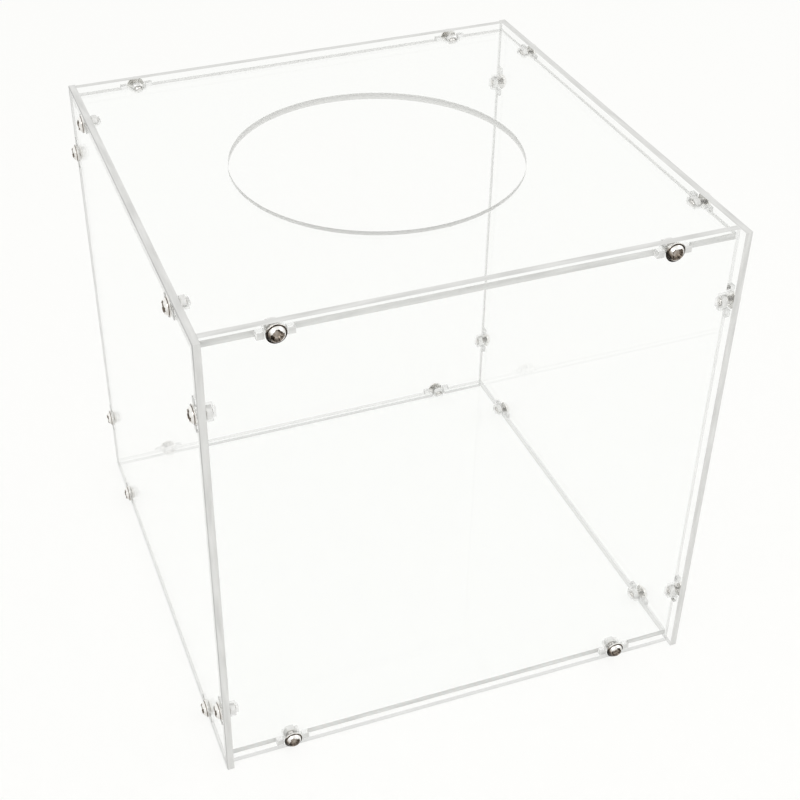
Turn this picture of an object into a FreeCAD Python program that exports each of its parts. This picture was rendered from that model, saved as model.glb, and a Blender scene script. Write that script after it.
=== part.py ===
import FreeCAD, Part
import math
import os

from FreeCAD import Vector

# A clear acrylic ballot box. Six laser-cut sheets slot together with pairs of tabs, and every edge
# is drawn tight by two screws whose nuts lie captive in T-shaped slots. A round hand hole opens the top.
# Millimetres, +Z up, +X to the right, -Y to the front. The origin lies under the middle of the whole box.

# Box
BOX_WIDTH = 196.5  # across the outer faces of the left and right walls
BOX_DEPTH = 200.0  # from the front edge to the back edge of the left and right walls
BOX_HEIGHT = 200.0  # of all four walls
SHEET = 2.8  # thickness of the acrylic, sold as 3 mm
FRONT_LEDGE = 3.0  # how far the front wall sits inside the front edges of the side walls
BACK_LEDGE = 0.8  # the same for the back wall and the back edges
LEVEL_LEDGE = 2.4  # how far the top and bottom sit inside the upper and lower edges of the walls
HAND_HOLE_DIAMETER = 112.0

# Tabs and slots along the edges
FASTENER_PITCH = 141.0  # between the two screws of one edge
TAB_WIDTH = 2.6  # one tab, along the edge
TAB_PROUD = 0.2  # how far a tab's end stands out of the wall
TAB_FIT = 0.1  # gap on each side of a tab in its slot
HEAD_CLEARANCE = 0.3  # from a screw head's rim to the tab beside it

# Screws, M3 with a low domed head
SCREW_DIAMETER = 3.0
SCREW_LENGTH = 6.0  # under the head
SCREW_CLEARANCE = 0.2  # round the shank
TIP_CLEARANCE = 0.8  # past the end of the screw, or past the nut
HEAD_DIAMETER = 7.2
HEAD_FLAT_DIAMETER = 3.0  # flat top of the dome
HEAD_HEIGHT = 2.2
HEAD_RIM = 0.4  # straight part of the head's side, below the dome
RECESS_SPAN = 4.2  # cross recess, from end to end at the top of the head
RECESS_FLOOR = 1.6  # the same, at the bottom of the recess
RECESS_DEPTH = 1.3
RECESS_SLOT = 1.0  # width of each arm of the cross

# Nuts, M3 hexagon
NUT_FLATS = 5.5
NUT_THICKNESS = 2.4
NUT_FACE_DIAMETER = 5.3  # across the face that the chamfers leave
NUT_CHAMFER_ANGLE = 30.0  # degrees
NUT_WEB = 0.6  # acrylic between the nut and the wall that its screw comes through
NUT_FIT = 0.1  # gap beside the nut in its slot
THREAD_FIT = 0.05  # radial gap that stands for the thread

# The small round forms repeat on every fastener, so each is a polygon with few sides.
SHANK_SIDES = 12
HEAD_SIDES = 20
DOME_STEPS = 3

# Where the sheets' middle planes and outer faces lie
wall_x = (BOX_WIDTH - SHEET) / 2
# The heads on the back wall stand out past the side walls, which lie forward of the middle by half of that.
middle_y = (BACK_LEDGE - HEAD_HEIGHT) / 2
front_y = middle_y - (BOX_DEPTH - SHEET) / 2 + FRONT_LEDGE
back_y = middle_y + (BOX_DEPTH - SHEET) / 2 - BACK_LEDGE
base_z = LEVEL_LEDGE + SHEET / 2
top_z = BOX_HEIGHT - base_z
inner_width = BOX_WIDTH - 2 * SHEET
inner_depth = back_y - front_y - SHEET
inner_y = (front_y + back_y) / 2

# Joint frame: x along the edge, y across the inner sheet, z out through the wall along the screw.
# Its origin is where the screw's axis leaves the wall's outer face.
tab_start = HEAD_DIAMETER / 2 + HEAD_CLEARANCE
tab_end = tab_start + TAB_WIDTH
hole_radius = SCREW_DIAMETER / 2 + SCREW_CLEARANCE
nut_seat_z = -SHEET - NUT_WEB
pocket_floor_z = nut_seat_z - NUT_THICKNESS - NUT_FIT
nut_corner = NUT_FLATS / math.sqrt(3)
pocket_half = nut_corner + NUT_FIT
slot_end_z = min(pocket_floor_z, -SCREW_LENGTH) - TIP_CLEARANCE

X_AXIS = Vector(1, 0, 0)
Y_AXIS = Vector(0, 1, 0)
Z_AXIS = Vector(0, 0, 1)
ORIGIN = Vector(0, 0, 0)
BOX_MIDDLE = Vector(0, middle_y, BOX_HEIGHT / 2)


def rectangle(centre, along, length, across, width):
    """A flat face with its sides along two directions."""
    half_length = along * (length / 2)
    half_width = across * (width / 2)
    corners = [
        centre - half_length - half_width,
        centre + half_length - half_width,
        centre + half_length + half_width,
        centre - half_length + half_width,
    ]
    return flat_face(corners + corners[:1])


def ring(radius, sides, z, turn=0.0):
    """Corners of a regular polygon round the screw's axis, and the first corner again."""
    step = 2 * math.pi / sides
    return [
        Vector(radius * math.sin(turn + k * step), radius * math.cos(turn + k * step), z)
        for k in range(sides + 1)
    ]


def flat_face(corners):
    """A flat face inside a closed run of corners."""
    return Part.Face(Part.makePolygon(corners))


def faceted(profile, sides, turn=0.0):
    """A flat-sided solid round the screw's axis, with one ring for each radius and height of its profile."""
    rings = [ring(radius, sides, z, turn) for radius, z in profile]
    faces = [flat_face(rings[0]), flat_face(rings[-1])]
    for lower, upper in zip(rings, rings[1:]):
        for k in range(sides):
            faces.append(flat_face([lower[k], lower[k + 1], upper[k + 1], upper[k], lower[k]]))
    return Part.Solid(Part.Shell(faces))


# Each sheet: the centre of its middle plane, then the two sides of its blank.
BLANKS = {
    "left": (BOX_MIDDLE - X_AXIS * wall_x, Y_AXIS, BOX_DEPTH, Z_AXIS, BOX_HEIGHT),
    "right": (BOX_MIDDLE + X_AXIS * wall_x, Y_AXIS, BOX_DEPTH, Z_AXIS, BOX_HEIGHT),
    "front": (Vector(0, front_y, BOX_HEIGHT / 2), X_AXIS, inner_width, Z_AXIS, BOX_HEIGHT),
    "back": (Vector(0, back_y, BOX_HEIGHT / 2), X_AXIS, inner_width, Z_AXIS, BOX_HEIGHT),
    "top": (Vector(0, inner_y, top_z), X_AXIS, inner_width, Y_AXIS, inner_depth),
    "bottom": (Vector(0, inner_y, base_z), X_AXIS, inner_width, Y_AXIS, inner_depth),
}

# Each wall: the way out of the box through it, and how far its outer face is from BOX_MIDDLE.
WALLS = {
    "left": (-X_AXIS, wall_x + SHEET / 2),
    "right": (X_AXIS, wall_x + SHEET / 2),
    "front": (-Y_AXIS, middle_y - front_y + SHEET / 2),
    "back": (Y_AXIS, back_y - middle_y + SHEET / 2),
}

# Each edge: the inner sheet with the tabs and nuts, and the wall that it plugs into.
EDGES = [(inner, wall) for inner in ("top", "bottom") for wall in ("front", "back", "left", "right")]
EDGES += [(inner, wall) for inner in ("front", "back") for wall in ("left", "right")]


def joint_frames(inner, wall):
    """Placements of the two joints along one edge."""
    centre, side, _, other_side, _ = BLANKS[inner]
    outward, reach = WALLS[wall]
    normal = side.cross(other_side)
    along = outward.cross(normal)
    across = outward.cross(along)
    # The joints lie on the sheet's middle plane, evenly about the middle of the side walls.
    middle = BOX_MIDDLE + normal * (centre - BOX_MIDDLE).dot(normal)
    seat = middle + outward * reach
    frames = []
    for offset in (-FASTENER_PITCH / 2, FASTENER_PITCH / 2):
        point = seat + along * offset
        frames.append(FreeCAD.Placement(FreeCAD.Matrix(
            along.x, across.x, outward.x, point.x,
            along.y, across.y, outward.y, point.y,
            along.z, across.z, outward.z, point.z,
            0, 0, 0, 1,
        )))
    return frames


def placed(shapes, frame):
    """Copies of shapes drawn in the joint frame, moved to one joint."""
    moved = []
    for shape in shapes:
        copy = shape.copy()
        copy.Placement = frame.multiply(copy.Placement)
        moved.append(copy)
    return moved


def tab_outlines():
    """Two tabs on the inner sheet, one each side of the screw, with roots that reach into the sheet."""
    root_z = -2 * SHEET
    length = TAB_PROUD - root_z
    middle_x = (tab_start + tab_end) / 2
    middle_z = (TAB_PROUD + root_z) / 2
    return [
        rectangle(Vector(side * middle_x, 0, middle_z), X_AXIS, TAB_WIDTH, Z_AXIS, length)
        for side in (-1, 1)
    ]


def t_slot_outline():
    """Slot in the inner sheet: a stem for the screw, and a crossbar for the nut."""
    right_side = [
        Vector(hole_radius, 0, -SHEET),
        Vector(hole_radius, 0, nut_seat_z),
        Vector(pocket_half, 0, nut_seat_z),
        Vector(pocket_half, 0, pocket_floor_z),
        Vector(hole_radius, 0, pocket_floor_z),
        Vector(hole_radius, 0, slot_end_z),
    ]
    left_side = [Vector(-point.x, 0, point.z) for point in reversed(right_side)]
    return flat_face(right_side + left_side + right_side[:1])


def wall_cutouts():
    """Holes in the wall: a slot for each tab and a round hole for the screw between them."""
    plane_z = -SHEET / 2
    slot_length = TAB_WIDTH + 2 * TAB_FIT
    slot_width = SHEET + 2 * TAB_FIT
    middle_x = (tab_start + tab_end) / 2
    slots = [
        rectangle(Vector(side * middle_x, 0, plane_z), X_AXIS, slot_length, Y_AXIS, slot_width)
        for side in (-1, 1)
    ]
    return slots + [flat_face(ring(hole_radius, SHANK_SIDES, plane_z))]


def sheet(name):
    """One laser-cut sheet: its outline drawn on the middle plane, then given its thickness."""
    centre, side, length, other_side, width = BLANKS[name]
    outline = rectangle(centre, side, length, other_side, width)
    tabs = []
    cutouts = []
    for inner, wall in EDGES:
        for frame in joint_frames(inner, wall):
            if name == inner:
                tabs += placed(tab_outlines(), frame)
                cutouts += placed([t_slot_outline()], frame)
            if name == wall:
                cutouts += placed(wall_cutouts(), frame)
    normal = side.cross(other_side)
    if name == "top":
        hand_hole = Part.makeCircle(HAND_HOLE_DIAMETER / 2, centre, normal)
        cutouts.append(Part.Face(Part.Wire(hand_hole)))
    if tabs:
        outline = outline.fuse(tabs).removeSplitter()
    outline = outline.cut(cutouts)
    solid = outline.Faces[0].extrude(normal * SHEET)
    solid.translate(normal * (-SHEET / 2))
    return solid


def screw():
    """Low domed head on a plain shank, with a cross recess."""
    flat = HEAD_FLAT_DIAMETER / 2
    overhang = HEAD_DIAMETER / 2 - flat
    head_profile = [(HEAD_DIAMETER / 2, 0)]
    for step in range(DOME_STEPS + 1):
        angle = math.pi / 2 * step / DOME_STEPS
        radius = flat + overhang * math.cos(angle)
        head_profile.append((radius, HEAD_RIM + (HEAD_HEIGHT - HEAD_RIM) * math.sin(angle)))
    head = faceted(head_profile, HEAD_SIDES)
    shank = faceted([(SCREW_DIAMETER / 2, -SCREW_LENGTH), (SCREW_DIAMETER / 2, 0)], SHANK_SIDES)
    return head.fuse(shank).cut(cross_recess())


def cross_recess():
    """Two crossed wedges, narrower at the bottom, that cut the driver's cross into a head."""
    floor_z = HEAD_HEIGHT - RECESS_DEPTH
    wedge = [
        Vector(-RECESS_SPAN / 2, -RECESS_SLOT / 2, HEAD_HEIGHT),
        Vector(RECESS_SPAN / 2, -RECESS_SLOT / 2, HEAD_HEIGHT),
        Vector(RECESS_FLOOR / 2, -RECESS_SLOT / 2, floor_z),
        Vector(-RECESS_FLOOR / 2, -RECESS_SLOT / 2, floor_z),
    ]
    arm = flat_face(wedge + wedge[:1]).extrude(Y_AXIS * RECESS_SLOT)
    other_arm = arm.copy()
    other_arm.rotate(ORIGIN, Z_AXIS, 90)
    return arm.fuse(other_arm)


def nut():
    """Hexagon nut with its corners chamfered, and two of them towards the ends of the crossbar."""
    far_z = nut_seat_z - NUT_THICKNESS
    middle_z = (nut_seat_z + far_z) / 2
    # Turned by half a side, the hexagon has two of its corners on the line along the edge.
    half_side = math.pi / 6
    prism = faceted([(nut_corner, far_z), (nut_corner, nut_seat_z)], 6, half_side)
    # The chamfers are the sides of a double pyramid, each facing a corner of the nut. The pyramid's own
    # corners lie this much further out than the middles of its sides.
    spread = 2 / math.sqrt(3)
    face = NUT_FACE_DIAMETER / 2 * spread
    reach = face + NUT_THICKNESS / 2 / math.tan(math.radians(NUT_CHAMFER_ANGLE)) * spread
    pyramid = faceted([(face, far_z), (reach, middle_z), (face, nut_seat_z)], 6)
    bore_radius = SCREW_DIAMETER / 2 + THREAD_FIT
    bore = faceted([(bore_radius, far_z), (bore_radius, nut_seat_z)], SHANK_SIDES)
    return prism.common(pyramid).cut(bore)


def main():
    os.makedirs("parts", exist_ok=True)
    nodes = {name + "_panel": sheet(name) for name in BLANKS}
    for inner, wall in EDGES:
        frames = joint_frames(inner, wall)
        for kind, piece in (("screws", screw()), ("nuts", nut())):
            pair = [placed([piece], frame)[0] for frame in frames]
            nodes[f"{inner}_{wall}_{kind}"] = Part.makeCompound(pair)
    for name, shape in nodes.items():
        shape.exportStep(f"parts/{name}.step")
        solids = shape.Solids
        valid = all(solid.isValid() for solid in solids)
        print(f"{name}: {len(solids)} solid(s), {shape.Volume:.1f} mm3, valid {valid}")


main()
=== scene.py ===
# %% [markdown]
# # A clear acrylic ballot box
# Six laser-cut sheets slot into each other, and twenty-four small bright screws with captive nuts draw
# the edges tight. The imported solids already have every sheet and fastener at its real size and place, so
# this lesson only dresses them: it gives the sheets clear faces and satin cut edges, and turns the plain
# fasteners into detailed ones.

# %% Load the frame
import math

import bmesh
import bpy
from mathutils import Matrix, Vector


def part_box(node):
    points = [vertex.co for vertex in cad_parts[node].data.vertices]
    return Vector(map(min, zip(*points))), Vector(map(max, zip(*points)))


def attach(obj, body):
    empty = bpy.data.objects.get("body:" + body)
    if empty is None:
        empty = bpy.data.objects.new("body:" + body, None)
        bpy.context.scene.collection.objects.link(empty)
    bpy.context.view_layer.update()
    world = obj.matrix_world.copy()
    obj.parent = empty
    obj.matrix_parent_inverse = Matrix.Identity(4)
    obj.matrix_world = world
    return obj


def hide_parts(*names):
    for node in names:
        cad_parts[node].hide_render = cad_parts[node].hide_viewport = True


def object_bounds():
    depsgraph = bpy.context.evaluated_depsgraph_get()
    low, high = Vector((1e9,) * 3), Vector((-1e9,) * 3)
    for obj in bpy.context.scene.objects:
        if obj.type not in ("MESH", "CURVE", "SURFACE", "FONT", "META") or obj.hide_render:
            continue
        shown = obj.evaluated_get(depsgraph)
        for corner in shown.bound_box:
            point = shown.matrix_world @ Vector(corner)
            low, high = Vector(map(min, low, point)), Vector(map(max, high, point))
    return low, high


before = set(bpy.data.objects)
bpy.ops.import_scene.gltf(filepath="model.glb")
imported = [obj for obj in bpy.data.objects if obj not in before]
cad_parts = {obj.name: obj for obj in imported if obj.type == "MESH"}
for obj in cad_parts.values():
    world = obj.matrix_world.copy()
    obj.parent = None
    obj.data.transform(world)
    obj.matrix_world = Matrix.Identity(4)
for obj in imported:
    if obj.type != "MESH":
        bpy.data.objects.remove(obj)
cad_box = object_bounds()
MM = 0.001
print("nodes:", len(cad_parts))

# %% [markdown]
# A material is a small graph of nodes. A few helpers keep the graphs readable: each adds one node, and an
# input takes either a plain value or the output of another node.

# %% Node helpers
def feed(tree, socket, value):
    """Gives an input a plain value, or links another node's output into it."""
    if isinstance(value, bpy.types.NodeSocket):
        tree.links.new(value, socket)
    else:
        socket.default_value = value


def fill(tree, node, **inputs):
    """Feeds the inputs of a node by name, with underscores for spaces."""
    for name, value in inputs.items():
        feed(tree, node.inputs[name.replace("_", " ")], value)


def add_node(tree, kind, **inputs):
    """Adds a node and feeds the inputs that are named."""
    node = tree.nodes.new(kind)
    fill(tree, node, **inputs)
    return node


def add_math(tree, operation, first, second):
    """The result of a Math node. Its two inputs share a name, so they are fed in order."""
    node = tree.nodes.new("ShaderNodeMath")
    node.operation = operation
    feed(tree, node.inputs[0], first)
    feed(tree, node.inputs[1], second)
    return node.outputs["Value"]


print("node helpers ready")

# %% [markdown]
# Two colours can be blended, and so can two whole shaders. Blender has one node for each, and these helpers
# hide how their sockets are found. Every material then starts from the same main shader.

# %% Mixing helpers and new materials
def mix_colours(tree, share, first, second):
    """The colour of a Mix node. It has inputs for many kinds of data, told apart by identifier."""
    node = tree.nodes.new("ShaderNodeMix")
    node.data_type = "RGBA"
    sockets = {socket.identifier: socket for socket in (*node.inputs, *node.outputs)}
    feed(tree, sockets["Factor_Float"], share)
    feed(tree, sockets["A_Color"], first)
    feed(tree, sockets["B_Color"], second)
    return sockets["Result_Color"]


def mix_shaders(tree, share, first, second):
    """The shader of a Mix Shader node, which goes from the first to the second as the share rises."""
    node = add_node(tree, "ShaderNodeMixShader", Fac=share)
    feed(tree, node.inputs[1], first)
    feed(tree, node.inputs[2], second)
    return node.outputs["Shader"]


def start_material(name):
    """An empty material with one main shader and its output."""
    material = bpy.data.materials.new(name)
    material.use_nodes = True
    tree = material.node_tree
    tree.nodes.clear()
    shader = add_node(tree, "ShaderNodeBsdfPrincipled")
    output = add_node(tree, "ShaderNodeOutputMaterial", Surface=shader.outputs["BSDF"])
    return material, tree, shader, output


print("material helpers ready")

# %% [markdown]
# Handled plastic and plated metal both carry a faint unevenness: a film of polish here, a fingerprint
# there. It could be painted on each piece, but one shared group that makes the cloudiness from layered
# noise serves every finish. It reads the object's own coordinates, so a pattern stays on its piece from
# every side.

# %% Shared film of handling
FILM_DETAIL = 5.0
FILM_FROM = 0.35
FILM_TO = 0.65


def handling_film():
    """A group that puts out a cloudy value between Low and High."""
    group = bpy.data.node_groups.new("handling_film", "ShaderNodeTree")
    for label in ("Scale", "Low", "High"):
        group.interface.new_socket(label, in_out="INPUT", socket_type="NodeSocketFloat")
    group.interface.new_socket("Value", in_out="OUTPUT", socket_type="NodeSocketFloat")
    given = group.nodes.new("NodeGroupInput")
    place = add_node(group, "ShaderNodeTexCoord")
    cloud = add_node(group, "ShaderNodeTexNoise", Vector=place.outputs["Object"],
                     Scale=given.outputs["Scale"], Detail=FILM_DETAIL)
    spread = add_node(group, "ShaderNodeMapRange", Value=cloud.outputs["Fac"],
                      From_Min=FILM_FROM, From_Max=FILM_TO,
                      To_Min=given.outputs["Low"], To_Max=given.outputs["High"])
    add_node(group, "NodeGroupOutput", Value=spread.outputs["Result"])
    return group


FILM = handling_film()


def film_value(tree, scale, low, high):
    """The shared film inside a material, as a value that wanders between low and high."""
    node = tree.nodes.new("ShaderNodeGroup")
    node.node_tree = FILM
    fill(tree, node, Scale=scale, Low=low, High=high)
    return node.outputs["Value"]


print("group:", FILM.name)

# %% [markdown]
# The faces of an acrylic sheet are as smooth as polished glass, so the main shader passes light through,
# and the film dulls it by a trace. Real acrylic bends light with an index of about 1.49. With that index
# a cut edge seen through its own sheet came out thinner than on the real box, so a lower index was picked.
# A glass shader also blocks the lamps and leaves the inside dark, so rays that only ask for shadow pass
# straight through.

# %% Clear face of the sheets
ACRYLIC_INDEX = 1.2
ACRYLIC_TINT = (0.995, 0.998, 0.996, 1)
SHADOW_TINT = (0.98, 0.98, 0.98, 1)
FACE_FILM_SCALE = 18.0
FACE_ROUGHNESS = (0.0, 0.02)


def clear_acrylic():
    material, tree, shader, output = start_material("clear_acrylic")
    fill(tree, shader, Base_Color=ACRYLIC_TINT, Transmission_Weight=1.0, IOR=ACRYLIC_INDEX,
         Roughness=film_value(tree, FACE_FILM_SCALE, *FACE_ROUGHNESS))
    rays = add_node(tree, "ShaderNodeLightPath")
    passing = add_node(tree, "ShaderNodeBsdfTransparent", Color=SHADOW_TINT)
    asks_shadow = rays.outputs["Is Shadow Ray"]
    either = mix_shaders(tree, asks_shadow, shader.outputs["BSDF"], passing.outputs["BSDF"])
    fill(tree, output, Surface=either)
    return material


CLEAR = clear_acrylic()
print("material:", CLEAR.name)

# %% [markdown]
# A laser melts its way through the sheet and leaves a satin edge with fine lines across the thickness.
# Light collects there, so the edges are what the eye sees of a clear box: pale grey bars. The lines could
# be modelled, but they are finer than a hair, so noise stretched along a map of each cut draws them. From
# outside the edge is opaque, like frosted plastic. From inside the sheet a part of the light passes out
# again, so the back of the same face hides only a share of what lies behind it.

# %% Satin edge left by the laser
CUT_MAP = "cut"
CLOUD_STRETCH = (60, 500, 1)
CLOUD_DETAIL = 4.0
CLOUD_FROM = 0.3
CLOUD_TO = 0.7
LINE_STRETCH = (4000, 120, 1)
LINE_DETAIL = 2.0
LINE_STRENGTH = 0.15
LINE_DEPTH = 0.1 * MM
EDGE_FILM_SCALE = 60.0
EDGE_ROUGHNESS = (0.28, 0.45)


def cut_noise(tree, along, stretch, detail):
    """Noise on the map of a cut, stretched one way."""
    place = add_node(tree, "ShaderNodeMapping", Vector=along.outputs["UV"], Scale=stretch)
    noise = add_node(tree, "ShaderNodeTexNoise", Vector=place.outputs["Vector"], Scale=1.0, Detail=detail)
    return noise.outputs["Fac"]


def cut_edge(name, dark, light, outside_share, inside_share):
    """A satin finish that hides one share of what is behind it from outside, and another from inside."""
    material, tree, shader, _ = start_material(name)
    along = add_node(tree, "ShaderNodeUVMap")
    along.uv_map = CUT_MAP
    cloud = cut_noise(tree, along, CLOUD_STRETCH, CLOUD_DETAIL)
    tone = add_node(tree, "ShaderNodeMapRange", Value=cloud, From_Min=CLOUD_FROM, From_Max=CLOUD_TO)
    lines = cut_noise(tree, along, LINE_STRETCH, LINE_DETAIL)
    bump = add_node(tree, "ShaderNodeBump", Height=lines, Strength=LINE_STRENGTH, Distance=LINE_DEPTH)
    side = add_node(tree, "ShaderNodeNewGeometry")
    share = add_node(tree, "ShaderNodeMapRange", Value=side.outputs["Backfacing"],
                     To_Min=outside_share, To_Max=inside_share)
    fill(tree, shader, Base_Color=mix_colours(tree, tone.outputs["Result"], dark, light),
         Roughness=film_value(tree, EDGE_FILM_SCALE, *EDGE_ROUGHNESS),
         Normal=bump.outputs["Normal"], Alpha=share.outputs["Result"])
    return material


print("map of the cuts:", CUT_MAP)

# %% [markdown]
# The same finish serves every cut with other values. How much a cut hides from inside is given, and each
# sheet has its own share: the left wall and the hand hole hide most. Two cuts pressed together in a joint
# let most light through on both sides. The chamfer along the outline of the left wall has darker colours,
# which paint the dark shade line that light draws along that outline.

# %% Finishes of the cuts
OPAQUE = 1.0
EDGE_DARK = (0.58, 0.58, 0.57, 1)
EDGE_LIGHT = (0.72, 0.72, 0.71, 1)
# The darker chamfer colours paint the dark shade line that light draws along the outline of the left wall.
SHADE_LINE_DARK = (0.33, 0.33, 0.33, 1)
SHADE_LINE_LIGHT = (0.58, 0.58, 0.57, 1)
INSIDE_SHARE = {"left": 0.95, "right": 0.3, "front": 0.3, "back": 0.4, "top": 0.55, "bottom": 0.3}
HOLE_SHARE = 0.95
JOINT_SHARE = 0.25

SHEET_EDGE = {}
for sheet_name, share in INSIDE_SHARE.items():
    SHEET_EDGE[sheet_name] = cut_edge(sheet_name + "_cut_edge", EDGE_DARK, EDGE_LIGHT, OPAQUE, share)
HOLE_EDGE = cut_edge("hand_hole_edge", EDGE_DARK, EDGE_LIGHT, OPAQUE, HOLE_SHARE)
JOINT = cut_edge("tight_joint", EDGE_DARK, EDGE_LIGHT, JOINT_SHARE, JOINT_SHARE)
SHADE_LINE_FINISH = cut_edge("shade_line_chamfer", SHADE_LINE_DARK, SHADE_LINE_LIGHT, OPAQUE, INSIDE_SHARE["left"])
print("cut finishes:", *[made.name for made in (*SHEET_EDGE.values(), HOLE_EDGE, JOINT, SHADE_LINE_FINISH)])

# %% [markdown]
# The fasteners are plated bright. In a white room such metal shows white, so painted shade and painted
# reflection draw its shape: a dark line round the dome and a brown recess. An image could hold those tones,
# but a fastener is so small that its own vertices can: each carries a tone, from 0 in the corners, where
# the shade is painted darkest, to 1 on the polished parts, and a ramp of three colours turns it into dark,
# brown and bright.

# %% Bright plating
TONE_LAYER = "tone"
MIDDLE_TONE = 0.4
TONE_FILM_SCALE = 900.0
TONE_DRIFT = 0.08
POLISH_FILM_SCALE = 500.0
# The dark and brown stops are painted shade and painted reflection for the rings and recesses of the heads.
SCREW_COLOURS = [(0.012, 0.010, 0.008, 1), (0.27, 0.225, 0.185, 1), (0.92, 0.91, 0.89, 1)]
SCREW_ROUGHNESS = (0.08, 0.2)
# The darker stops of the nut are painted shade in its bore.
NUT_COLOURS = [(0.2, 0.19, 0.18, 1), (0.5, 0.49, 0.48, 1), (0.84, 0.84, 0.83, 1)]
NUT_ROUGHNESS = (0.3, 0.45)


def bright_plating(name, colours, roughness):
    material, tree, shader, _ = start_material(name)
    tone = add_node(tree, "ShaderNodeAttribute")
    tone.attribute_name = TONE_LAYER
    drift = film_value(tree, TONE_FILM_SCALE, -TONE_DRIFT, TONE_DRIFT)
    colour = add_node(tree, "ShaderNodeValToRGB", Fac=add_math(tree, "ADD", tone.outputs["Fac"], drift))
    stops = colour.color_ramp.elements
    stops.new(MIDDLE_TONE)
    for stop, value in zip(stops, colours):
        stop.color = value
    fill(tree, shader, Base_Color=colour.outputs["Color"], Metallic=1.0,
         Roughness=film_value(tree, POLISH_FILM_SCALE, *roughness))
    return material


SCREW_PLATING = bright_plating("screw_plating", SCREW_COLOURS, SCREW_ROUGHNESS)
NUT_PLATING = bright_plating("nut_plating", NUT_COLOURS, NUT_ROUGHNESS)
print("materials:", SCREW_PLATING.name, NUT_PLATING.name)

# %% [markdown]
# Every finished piece goes through one function: the mesh becomes an object at the origin, takes its
# materials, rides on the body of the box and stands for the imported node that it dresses.

# %% Finishing a piece
BODY = "root"


def finish_piece(name, mesh, materials, node, sharp_degrees):
    for material in materials:
        mesh.materials.append(material)
    mesh.set_sharp_from_angle(angle=math.radians(sharp_degrees))
    piece = bpy.data.objects.new(name, mesh)
    bpy.context.scene.collection.objects.link(piece)
    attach(piece, BODY)
    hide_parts(node)
    return piece


print("finishing ready")

# %% [markdown]
# A sheet has five kinds of face, and each kind has its finish. They could be picked by hand, but the way a
# face looks and its place tell them apart. A face that looks along the sheet's thin direction is clear.
# Every other face was cut by the laser: it bounds the hand hole, or it is open to the air at the rim of
# the sheet or along a long cut, or it lies in a joint. A face that leans between the two is a chamfer,
# which carries a painted shade line on the outer side of the left wall and is clear elsewhere.

# %% Kinds of face
CLEAR_FACE, OPEN_CUT, JOINT_CUT, SHADE_LINE_CHAMFER, HOLE_CUT = range(5)
CUT_LEAN = 0.1
FLAT_LEAN = 0.99
LONG_CUT = 8 * MM
END_REACH = 0.3 * MM
HOLE_REACH = 60 * MM


def kind_of_face(face, thin, low, high, shade_line_side):
    """The kind of a face on a sheet between two corners. A shade line side of 0 means no painted shade
    line.
    """
    lean = face.normal.dot(thin)
    if abs(lean) > CUT_LEAN:
        return SHADE_LINE_CHAMFER if CUT_LEAN < lean * shade_line_side < FLAT_LEAN else CLEAR_FACE
    from_middle = face.calc_center_median() - (low + high) / 2
    if from_middle.length < HOLE_REACH:
        return HOLE_CUT
    half = abs((high - low).dot(face.normal)) / 2
    at_end = abs(from_middle.dot(face.normal)) > half - END_REACH
    along = face.normal.cross(thin)
    reach = [vert.co.dot(along) for vert in face.verts]
    return OPEN_CUT if at_end or max(reach) - min(reach) > LONG_CUT else JOINT_CUT


def lay_cut_map(bm, thin):
    """A map on the cut faces: along the cut, then through the thickness."""
    layer = bm.loops.layers.uv.new(CUT_MAP)
    for face in bm.faces:
        if face.material_index != CLEAR_FACE:
            along = face.normal.cross(thin)
            for loop in face.loops:
                loop[layer].uv = (loop.vert.co.dot(along), loop.vert.co.dot(thin))


print("kinds of face:", HOLE_CUT + 1)

# %% [markdown]
# A sheet could be drawn and extruded again here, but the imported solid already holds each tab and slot,
# so its mesh is copied, merged and cleaned. The sheets between the two outer walls shrink by a hair, which
# leaves air in the joints, because clear faces that touch would show as one block.

# %% Copy of a packed sheet
OUTER_SHEETS = ("left", "right")
MERGE_REACH = 0.001 * MM
FLAT_ANGLE = math.radians(0.5)
AIR_GAP = 0.03 * MM


def copy_packed(name, low, high):
    """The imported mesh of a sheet, merged and cleaned, with its hair of air."""
    bm = bmesh.new()
    bm.from_mesh(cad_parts[name + "_panel"].data)
    bmesh.ops.remove_doubles(bm, verts=bm.verts, dist=MERGE_REACH)
    bmesh.ops.dissolve_limit(bm, angle_limit=FLAT_ANGLE, verts=bm.verts, edges=bm.edges)
    if name not in OUTER_SHEETS:
        shrink = [1.0 - 2 * AIR_GAP / side for side in high - low]
        bmesh.ops.scale(bm, vec=shrink, space=Matrix.Translation(-(low + high) / 2), verts=bm.verts)
    return bm


print("air between sheets (mm):", round(AIR_GAP / MM, 3))

# %% [markdown]
# No edge of a real sheet is perfectly sharp. A Bevel modifier would round all of them alike, so the bevel
# operator is used, which takes its own list of edges each time: a hair-thin chamfer for every sharp edge,
# and a wider one for the outline of the left wall, where the dark line runs.

# %% Chamfers
SHARP_EDGE = math.radians(60)
OUTLINE_EDGE = 150 * MM


def sharp_edges(bm):
    return [edge for edge in bm.edges if edge.calc_face_angle(0) > SHARP_EDGE]


def break_edges(bm, edges, width, clamp):
    """A flat chamfer on some edges. Clamping thins it until it fits beside the smallest neighbour."""
    bmesh.ops.bevel(bm, geom=edges, offset=width, segments=1, profile=0.5, affect="EDGES",
                    material=-1, loop_slide=False, clamp_overlap=clamp)
    bm.normal_update()


def shade_line_outline(bm, middle):
    """The long sharp edges on the left side of a wall's thickness."""
    outer = [edge for edge in sharp_edges(bm) if max(vert.co.x for vert in edge.verts) < middle.x]
    return [edge for edge in outer if edge.calc_length() > OUTLINE_EDGE]


print("an edge is sharp from (degrees):", round(math.degrees(SHARP_EDGE)))

# %% [markdown]
# Now each sheet is dressed: copied, chamfered, and given a finish and a map face by face. Cut faces are
# shaded smooth, so that the facets of the hand hole don't show.

# %% Sheets
WALL_NAMES = ("left", "right", "front", "back")
SHADE_LINE_SHEET = "left"
LEFTWARD = -1
OUTLINE_BREAK = 0.3 * MM
THIN_BREAK = 0.1 * MM
SHEET_SHARP_DEGREES = 32


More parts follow.
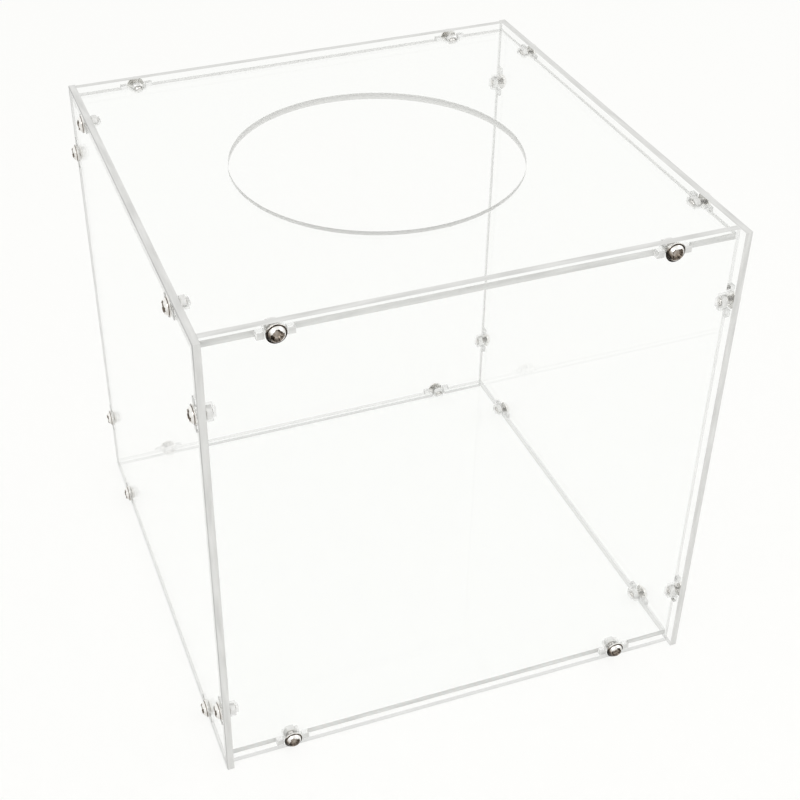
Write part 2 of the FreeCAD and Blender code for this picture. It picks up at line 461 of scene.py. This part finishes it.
def dress_sheet(name):
    low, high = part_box(name + "_panel")
    size = high - low
    thin = Vector([1.0 if side == min(size) else 0.0 for side in size])
    bm = copy_packed(name, low, high)
    shade_line_side = LEFTWARD if name == SHADE_LINE_SHEET else 0
    # The outline of the left wall gets a wider chamfer, which carries the painted shade line.
    if name == SHADE_LINE_SHEET:
        break_edges(bm, shade_line_outline(bm, (low + high) / 2), OUTLINE_BREAK, False)
        # The bevel leaves gaps in the list of faces, and a second one would fill them in a chance order.
        # A copy has no gaps, so its faces come out in the same order each run.
        gappy, bm = bm, bm.copy()
        gappy.free()
    bm.normal_update()
    break_edges(bm, sharp_edges(bm), THIN_BREAK, True)
    for face in bm.faces:
        face.material_index = kind_of_face(face, thin, low, high, shade_line_side)
        face.smooth = face.material_index != CLEAR_FACE
    lay_cut_map(bm, thin)
    mesh = bpy.data.meshes.new(name + "_sheet")
    bm.to_mesh(mesh)
    bm.free()
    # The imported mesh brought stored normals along, which no longer fit the chamfers
    mesh.attributes.remove(mesh.attributes["custom_normal"])
    finishes = [CLEAR, SHEET_EDGE[name], JOINT, SHADE_LINE_FINISH, HOLE_EDGE]
    return finish_piece(name + "_sheet", mesh, finishes, name + "_panel", SHEET_SHARP_DEGREES)


for sheet_name in WALL_NAMES + ("top", "bottom"):
    sheet = dress_sheet(sheet_name)
    print(sheet.name, len(sheet.data.polygons), "faces")

# %% [markdown]
# A screw and a nut are both towers of rings round an axis. A turned part could be spun from a profile, but
# a recess and a hexagon aren't round. Here each ring has the same number of points, so one ring can be a
# circle, the next a hexagon or a cross, and the faces between them stay tidy quads. Extruding one ring into
# the next would give the faces in a chance order, so the points are laid and joined one by one.

# %% Towers of rings
RING_SIDES = 72
TURN = 2 * math.pi


def lay_ring(bm, layer, shape, tone):
    """The points of one ring, with their tone."""
    ring = []
    for place in range(RING_SIDES):
        angle = place * TURN / RING_SIDES
        radius, height = shape(angle)
        vert = bm.verts.new((radius * math.cos(angle), radius * math.sin(angle), height))
        vert[layer] = tone
        ring.append(vert)
    return ring


def build_tower(rings):
    """A closed mesh from rings. A ring is a function from the angle to radius and height, and a tone."""
    bm = bmesh.new()
    layer = bm.verts.layers.float.new(TONE_LAYER)
    laid = [lay_ring(bm, layer, shape, tone) for shape, tone in rings]
    bm.faces.new(laid[0][::-1])
    for below, above in zip(laid, laid[1:]):
        for place in range(RING_SIDES):
            bm.faces.new((below[place - 1], below[place], above[place], above[place - 1]))
    bm.faces.new(laid[-1])
    bmesh.ops.recalc_face_normals(bm, faces=bm.faces)
    for face in bm.faces:
        face.smooth = True
    return bm


def circle(radius, height):
    return lambda angle: (radius, height)


print("ring sides:", RING_SIDES)

# %% [markdown]
# The screw's main sizes could be typed in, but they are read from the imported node, so that the dressed
# screw still fits when the part changes. The head is as wide as the node is across, and the wall's outer
# face splits the node's length into shank and head.

# %% Sizes of the screw
def wall_axis(wall):
    """The axis number that a wall faces along, and its sign."""
    return (0 if wall in ("left", "right") else 1), (-1 if wall in ("left", "front") else 1)


def wall_seat(wall):
    """Where a wall's outer face lies along its axis."""
    axis, sign = wall_axis(wall)
    low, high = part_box(wall + "_panel")
    return (low if sign < 0 else high)[axis]


sample_low, sample_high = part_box("top_front_screws")
HEAD_RADIUS = (sample_high.z - sample_low.z) / 2
HEAD_HEIGHT = wall_seat("front") - sample_low.y
SHANK_LENGTH = sample_high.y - wall_seat("front")
sizes = [round(size / MM, 3) for size in (HEAD_RADIUS, HEAD_HEIGHT, SHANK_LENGTH)]
print("head radius, height, shank (mm):", *sizes)

# %% [markdown]
# The shank carries a thread. A real one is a groove rolled along a helix, and sweeping a profile along a
# helix is one way to make it. In a tower it is simpler: the radius of each ring swells and shrinks with the
# angle, and each ring is turned a little against the one below, so the crest climbs one pitch in a turn.

# %% Thread
THREAD_CREST = 1.45 * MM
THREAD_ROOT = 1.2 * MM
THREAD_PITCH = 0.5 * MM
THREAD_STEPS = 8
TIP_RADIUS = 0.8 * THREAD_ROOT
TIP_LENGTH = 0.2 * MM
NECK_LENGTH = 0.1 * MM
THREAD_TONE = 0.9


def thread(height):
    """A ring of the thread."""
    def shape(angle):
        rise = abs((height / THREAD_PITCH - angle / TURN) % 1.0 - 0.5) * 2
        return THREAD_ROOT + (THREAD_CREST - THREAD_ROOT) * rise, height
    return shape


def shank_rings():
    step = THREAD_PITCH / THREAD_STEPS
    count = int((SHANK_LENGTH - 2 * TIP_LENGTH) / step) + 1
    heights = [-SHANK_LENGTH + TIP_LENGTH + number * step for number in range(count)]
    tip = (circle(TIP_RADIUS, -SHANK_LENGTH), THREAD_TONE)
    neck = (circle(THREAD_ROOT, -NECK_LENGTH), THREAD_TONE)
    return [tip] + [(thread(height), THREAD_TONE) for height in heights] + [neck]


print("shank rings:", len(shank_rings()))

# %% [markdown]
# The head is a thin flange with a dome on it, and a driver's recess is punched into the dome: a round hole
# with four ears. The dome is the cap of a ball. The recess takes the top of the cap away, so the ball's top
# may lie above the head's.

# %% Dome and recess
RIM_HEIGHT = 0.7 * MM
DOME_RADIUS = 3.1 * MM
BALL_ABOVE_HEAD = 0.55 * MM
DOME_TOP = HEAD_HEIGHT + BALL_ABOVE_HEAD
EAR_REACH = 2.25 * MM
EAR_HALF_WIDTH = 0.75 * MM
RECESS_RADIUS = 1.98 * MM
SMALLEST_SINE = 1e-6


def dome(radius):
    """Height of the ball's cap above the wall at a radius."""
    rise = DOME_TOP - RIM_HEIGHT
    ball = (DOME_RADIUS ** 2 + rise ** 2) / (2 * rise)
    return DOME_TOP - ball + math.sqrt(ball ** 2 - radius ** 2)


def recess_radius(angle):
    """How far the recess reaches from the axis, in the hole or in an ear."""
    folded = abs((angle + TURN / 8) % (TURN / 4) - TURN / 8)
    ear = min(EAR_REACH / math.cos(folded), EAR_HALF_WIDTH / max(math.sin(folded), SMALLEST_SINE))
    return max(ear, RECESS_RADIUS)


def on_dome(scale, sink):
    """A ring round the recess that follows the dome, or runs a little below it."""
    def shape(angle):
        radius = recess_radius(angle) * scale
        return radius, dome(radius) - sink
    return shape


def in_recess(scale, depth):
    """A level ring inside the recess."""
    return lambda angle: (recess_radius(angle) * scale, HEAD_HEIGHT - depth)


print("foot and top of the dome (mm):", round(dome(DOME_RADIUS) / MM, 3), round(dome(0) / MM, 3))

# %% [markdown]
# The rings of the head lead from the seat on the wall round the rim of the flange, over the dome and down
# into the recess. The tones of the rings are painted shade and painted reflection: they draw the dark line
# where the dome meets the flange, and the brown of the recess. The seat keeps a hair of air to the wall, so
# the two faces don't fight for the same place.

# %% Head and screw
SEAT_GAP = 0.04 * MM
RIM_ROUND = 0.1 * MM
DOME_STEPS = 12
DOME_END = 1.06 * EAR_REACH
LIP_SINK = 0.05 * MM
RECESS_DEPTH = 1.3 * MM
SLOPE_DEPTH = 0.6 * RECESS_DEPTH
LIP_SCALE, MOUTH_SCALE, SLOPE_SCALE, FLOOR_SCALE = 1.05, 1.0, 0.8, 0.55
# The flange, the foot of the dome and the recess get low tones: painted shade and painted reflection of
# dark surroundings.
POLISHED, UNDERSIDE, WORKED, FOOT_SHADE, FLANGE_SHADE, CORNER_SHADE = 1.0, 0.95, 0.9, 0.5, 0.1, 0.0
MOUTH_SHADE, SLOPE_SHADE, RECESS_FLOOR_SHADE = 0.3, 0.12, 0.45


def head_rings():
    rings = [
        (circle(THREAD_CREST, SEAT_GAP), UNDERSIDE),
        (circle(HEAD_RADIUS - RIM_ROUND, SEAT_GAP), POLISHED),
        (circle(HEAD_RADIUS, SEAT_GAP + RIM_ROUND), POLISHED),
        (circle(HEAD_RADIUS, RIM_HEIGHT - RIM_ROUND), WORKED),
        (circle(HEAD_RADIUS - RIM_ROUND, RIM_HEIGHT), FLANGE_SHADE),
        (circle(DOME_RADIUS, RIM_HEIGHT), CORNER_SHADE),
    ]
    for step in range(1, DOME_STEPS + 1):
        radius = DOME_RADIUS + (DOME_END - DOME_RADIUS) * step / DOME_STEPS
        rings.append((circle(radius, dome(radius)), FOOT_SHADE if step == 1 else POLISHED))
    return rings + [
        (on_dome(LIP_SCALE, 0.0), WORKED),
        (on_dome(MOUTH_SCALE, LIP_SINK), MOUTH_SHADE),
        (in_recess(SLOPE_SCALE, SLOPE_DEPTH), SLOPE_SHADE),
        (in_recess(FLOOR_SCALE, RECESS_DEPTH), RECESS_FLOOR_SHADE),
    ]


screw_mesh = build_tower(shank_rings() + head_rings())
print("screw:", len(screw_mesh.faces), "faces")

# %% [markdown]
# The nut. The side of a hexagon lies at half the width across the flats, divided by the cosine of the angle
# from the middle of the nearest flat. The chamfer is a cone, so a corner starts lower on it than the middle
# of a flat does, which gives the curved shoulders of a real nut. The nut is a little smaller than its
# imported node, as it looks in its slot. The middle of the bore stays closed, because the screw fills it.

# %% Nut
nut_low, nut_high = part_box("top_front_nuts")
NUT_SLACK = 0.3 * MM
NUT_THICKNESS = nut_high.y - nut_low.y - NUT_SLACK
NUT_SEAT = nut_low.y - wall_seat("front") + SEAT_GAP
NUT_HALF_FLATS = (nut_high.z - nut_low.z) / 2 - NUT_SLACK
NUT_FACE_INSET = 0.15 * MM
NUT_FACE = NUT_HALF_FLATS - NUT_FACE_INSET
NUT_SLOPE = math.tan(math.radians(30))
NUT_BORE = 1.5 * MM
BORE_CHAMFER = 0.2 * MM
PLUG_RADIUS = 0.97 * NUT_BORE
# The tones of the bore fall inward: painted shade in the hole.
BORE_SHADES = (0.6, 0.7, 0.8)


def hexagon(face, inward):
    """The nut's side where the chamfer's cone meets it, next to a face."""
    def shape(angle):
        folded = angle % (TURN / 6) - TURN / 12
        radius = NUT_HALF_FLATS / math.cos(folded)
        return radius, face + inward * max(0.0, radius - NUT_FACE) * NUT_SLOPE
    return shape


def nut_side(face, inward):
    """Rings from the plug in the bore to the shoulder. Inward leads from the face into the nut."""
    return [
        (circle(PLUG_RADIUS, face + inward * 2 * BORE_CHAMFER), BORE_SHADES[0]),
        (circle(NUT_BORE, face + inward * BORE_CHAMFER), BORE_SHADES[1]),
        (circle(NUT_BORE + BORE_CHAMFER, face), BORE_SHADES[2]),
        (circle(NUT_FACE, face), POLISHED),
        (hexagon(face, inward), WORKED),
    ]


nut_mesh = build_tower(nut_side(-NUT_SEAT, -1) + nut_side(-NUT_SEAT - NUT_THICKNESS, 1)[::-1])
print("nut:", len(nut_mesh.faces), "faces, seat (mm):", round(NUT_SEAT / MM, 3))

# %% [markdown]
# Each edge has two screws and two nuts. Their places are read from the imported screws: the two axes lie
# one head's radius inside the ends of the node's box. A screw stops turning wherever it happens to be
# tight, so each recess stands at its own angle.

# %% Places of the fasteners
EDGES = [(inner, wall) for inner in ("top", "bottom") for wall in ("front", "back", "left", "right")]
EDGES += [(inner, wall) for inner in ("front", "back") for wall in ("left", "right")]
GOLDEN_TURN = math.radians(137.5)


def joint_places(inner, wall):
    """The two matrices that carry a fastener from its own axis to one edge of the box."""
    low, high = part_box(f"{inner}_{wall}_screws")
    size = high - low
    axis, sign = wall_axis(wall)
    run = max(range(3), key=lambda k: size[k])
    outward = Vector([sign if k == axis else 0.0 for k in range(3)])
    along = Vector([1.0 if k == run else 0.0 for k in range(3)])
    across = outward.cross(along)
    facing_out = Matrix((along, across, outward)).transposed().to_4x4()
    places = []
    for end in (low[run] + HEAD_RADIUS, high[run] - HEAD_RADIUS):
        centre = (low + high) / 2
        centre[run] = end
        centre[axis] = wall_seat(wall)
        places.append(Matrix.Translation(centre) @ facing_out)
    return places


def turned(places, number):
    """The same places with each fastener turned on its axis, by another angle for each number."""
    angles = [GOLDEN_TURN * (2 * number + k) for k in range(len(places))]
    return [place @ Matrix.Rotation(angle, 4, "Z") for place, angle in zip(places, angles)]


print("edges:", len(EDGES), "places on each:", len(joint_places(*EDGES[0])))

# %% [markdown]
# In an all-white room bright metal has nothing dark to reflect, so it would lose its form. A dark card
# beside the box is the studio's answer. A painted shade does the same here without touching the sheets:
# the tone of a head falls off towards its lower front left.

# %% Shaded copies
SHADE_SIDE = Vector((-0.8, -0.8, -0.4))
SHADE_START = 0.3
SHADE_WIDTH = 0.4


def shade(verts, layer, place, amount):
    """Lowers the tone of a fastener's vertices on its shaded side by up to the amount."""
    outward = place.to_3x3() @ Vector((0, 0, 1))
    side = (SHADE_SIDE - outward * SHADE_SIDE.dot(outward)).normalized()
    for vert in verts:
        lean = (vert.co - place.translation).dot(side) / HEAD_RADIUS - SHADE_START
        vert[layer] *= 1 - amount * min(max(lean / SHADE_WIDTH, 0), 1)


def copies(source, name, places, amount):
    """One mesh with a shaded copy of a fastener at each place."""
    master = bpy.data.meshes.new("master")
    source.to_mesh(master)
    bm = bmesh.new()
    for place in places:
        before = len(bm.verts)
        bm.from_mesh(master)
        bm.verts.ensure_lookup_table()
        added = bm.verts[before:]
        bmesh.ops.transform(bm, matrix=place, verts=added)
        shade(added, bm.verts.layers.float[TONE_LAYER], place, amount)
    mesh = bpy.data.meshes.new(name)
    bm.to_mesh(mesh)
    bm.free()
    bpy.data.meshes.remove(master)
    return mesh


print("shade starts at this share of the head's radius:", SHADE_START)

# %% [markdown]
# All twelve edges get their fasteners in one loop. The heads on the front wall show their shaded side most,
# those on the left wall a little, and the others are seen from behind and stay bright, as the nuts do.

# %% Place the fasteners
HEAD_SHADE = {"front": 0.95, "left": 0.15, "right": 0.0, "back": 0.0}
NO_SHADE = 0.0
SCREW_SHARP_DEGREES = 35
NUT_SHARP_DEGREES = 25

for number, (inner, wall) in enumerate(EDGES):
    places = joint_places(inner, wall)
    name = f"screws_{inner}_{wall}"
    mesh = copies(screw_mesh, name, turned(places, number), HEAD_SHADE[wall])
    finish_piece(name, mesh, [SCREW_PLATING], f"{inner}_{wall}_screws", SCREW_SHARP_DEGREES)
    name = f"nuts_{inner}_{wall}"
    mesh = copies(nut_mesh, name, places, NO_SHADE)
    finish_piece(name, mesh, [NUT_PLATING], f"{inner}_{wall}_nuts", NUT_SHARP_DEGREES)
print("fasteners on", len(EDGES), "edges")

# %% [markdown]
# The stage is a wide pale floor. It is lit like any floor, but most of what the camera sees of it is a
# plain white glow, so it reads as a white sweep and still keeps a soft shadow. Metal and clear plastic pass
# the camera's rays on, so they see the glow too. Once light has spread from a dull surface the glow is left
# out, because it would light the box a second time.

# %% Glow of the floor
FLOOR_COLOUR = (0.9, 0.9, 0.89, 1)
FLOOR_ROUGHNESS = 0.9
WHITE = (0.995, 0.995, 0.98, 1)
GLOW_SHARE = 0.8
HALF_BOUNCE = 0.5


def seen_rays(tree):
    """1 for the camera's rays and those that metal or clear plastic pass on, 0 once light spreads."""
    rays = add_node(tree, "ShaderNodeLightPath")
    seen = rays.outputs["Is Camera Ray"]
    for name in ("Is Glossy Ray", "Is Transmission Ray"):
        seen = add_math(tree, "MAXIMUM", seen, rays.outputs[name])
    before_spread = add_math(tree, "LESS_THAN", rays.outputs["Diffuse Depth"], HALF_BOUNCE)
    return add_math(tree, "MULTIPLY", seen, before_spread)


def pale_floor():
    material, tree, shader, output = start_material("pale_floor")
    fill(tree, shader, Base_Color=FLOOR_COLOUR, Roughness=FLOOR_ROUGHNESS)
    glow = add_node(tree, "ShaderNodeEmission", Color=WHITE, Strength=1.0)
    share = add_math(tree, "MULTIPLY", seen_rays(tree), GLOW_SHARE)
    fill(tree, output, Surface=mix_shaders(tree, share, shader.outputs["BSDF"], glow.outputs["Emission"]))
    return material


FLOOR_FINISH = pale_floor()
print("material:", FLOOR_FINISH.name)

# %% [markdown]
# The floor itself is one large square, a hair below the box, so that the two don't share a plane. It is
# staging and not a piece of the box.

# %% Floor
FLOOR_DROP = 0.2 * MM
FLOOR_SIZE = 20.0

bm = bmesh.new()
bmesh.ops.create_grid(bm, x_segments=1, y_segments=1, size=FLOOR_SIZE / 2)
bmesh.ops.translate(bm, verts=bm.verts, vec=(0, 0, cad_box[0].z - FLOOR_DROP))
floor_mesh = bpy.data.meshes.new("floor")
bm.to_mesh(floor_mesh)
bm.free()
floor_mesh.materials.append(FLOOR_FINISH)
floor = bpy.data.objects.new("floor", floor_mesh)
bpy.context.scene.collection.objects.link(floor)
print("floor at z (mm):", round(floor_mesh.vertices[0].co.z / MM, 3))

# %% [markdown]
# Round the stage stands a white room. It shows as plain white, and it lights the box a little less than
# that, so pale edges keep their tone. A photograph of a room could be used, but even light is all that is
# needed here.

# %% White room
ROOM_LIGHT = 0.9

world = bpy.data.worlds.new("white_room")
bpy.context.scene.world = world
world.use_nodes = True
room = world.node_tree
room.nodes.clear()
level = add_node(room, "ShaderNodeMapRange", Value=seen_rays(room), To_Min=ROOM_LIGHT, To_Max=1.0)
sky = add_node(room, "ShaderNodeBackground", Color=WHITE, Strength=level.outputs["Result"])
add_node(room, "ShaderNodeOutputWorld", Surface=sky.outputs["Background"])
print("world:", world.name)

# %% [markdown]
# Two wide soft lamps stand in front of the box, the stronger one to the left, as softboxes do in a studio.
# They give the edges a brighter and a darker side. Rays that pass through a sheet don't meet the lamps,
# because the sheet's shadow rays already let that light in. Places are in metres and powers in watts.

# %% Lamps
LAMP_SIZE = 1.0
LAMPS = {
    "key_softbox": ((-0.9, -0.9, 1.3), 6.0),
    "fill_softbox": ((1.1, -0.5, 0.9), 2.5),
}
centre = (cad_box[0] + cad_box[1]) / 2
for lamp_name, (place, power) in LAMPS.items():
    lamp = bpy.data.lights.new(lamp_name, "AREA")
    lamp.size = LAMP_SIZE
    lamp.energy = power
    holder = bpy.data.objects.new(lamp_name, lamp)
    holder.location = place
    holder.visible_transmission = False
    holder.rotation_euler = (centre - Vector(place)).to_track_quat("-Z", "Y").to_euler()
    bpy.context.scene.collection.objects.link(holder)
print("lamps:", len(LAMPS))

# %% [markdown]
# The camera stands in front of the box, to the left and above, close enough that the far edges converge.
# The box doesn't lie on the lens's axis, and turning the camera to it would change how the edges converge.
# So the camera keeps its direction, and the picture is shifted on the sensor.

# %% Camera
AZIMUTH = math.radians(-18.28)
ELEVATION = math.radians(36.54)
ROLL = math.radians(-1.08)
DISTANCE = 595.1 * MM
AIM_RIGHT = -21.91 * MM
AIM_UP = -10.07 * MM
LENS = 64.26
SENSOR = 36.0
SHIFT_RIGHT = 0.0958
SHIFT_UP = -0.0091
NEAR_CLIP = 10 * MM

camera_data = bpy.data.cameras.new("camera")
camera_data.lens = LENS
camera_data.sensor_width = SENSOR
camera_data.shift_x = SHIFT_RIGHT
camera_data.shift_y = SHIFT_UP
camera_data.clip_start = NEAR_CLIP
facing = Matrix.Rotation(AZIMUTH, 4, "Z") @ Matrix.Rotation(math.pi / 2 - ELEVATION, 4, "X")
facing = facing @ Matrix.Rotation(ROLL, 4, "Z")
side_low, side_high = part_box("left_panel")
middle = (side_low + side_high) / 2
middle.x = 0
stand = middle + facing.to_3x3() @ Vector((AIM_RIGHT, AIM_UP, DISTANCE))
camera = bpy.data.objects.new("camera", camera_data)
camera.matrix_world = Matrix.Translation(stand) @ facing
bpy.context.scene.collection.objects.link(camera)
bpy.context.scene.camera = camera
print("camera at (mm):", *[round(x / MM, 1) for x in camera.location])

# %% [markdown]
# Light that enters a sheet runs between its faces many times before it leaves, as in a light guide. With
# the usual limits such rays stop on the way and show black, so the limits are raised. The filter that
# blurs bright reflections is off, so that small metal parts keep their highlights.

# %% View and light paths
scene = bpy.context.scene
scene.view_settings.view_transform = "Standard"
scene.cycles.blur_glossy = 0.0
scene.cycles.max_bounces = 160
scene.cycles.transmission_bounces = 64
scene.cycles.glossy_bounces = 128
scene.cycles.transparent_max_bounces = 64
print("light bounces up to:", scene.cycles.max_bounces)

# %% [markdown]

# %% Finish
print("scene ready")
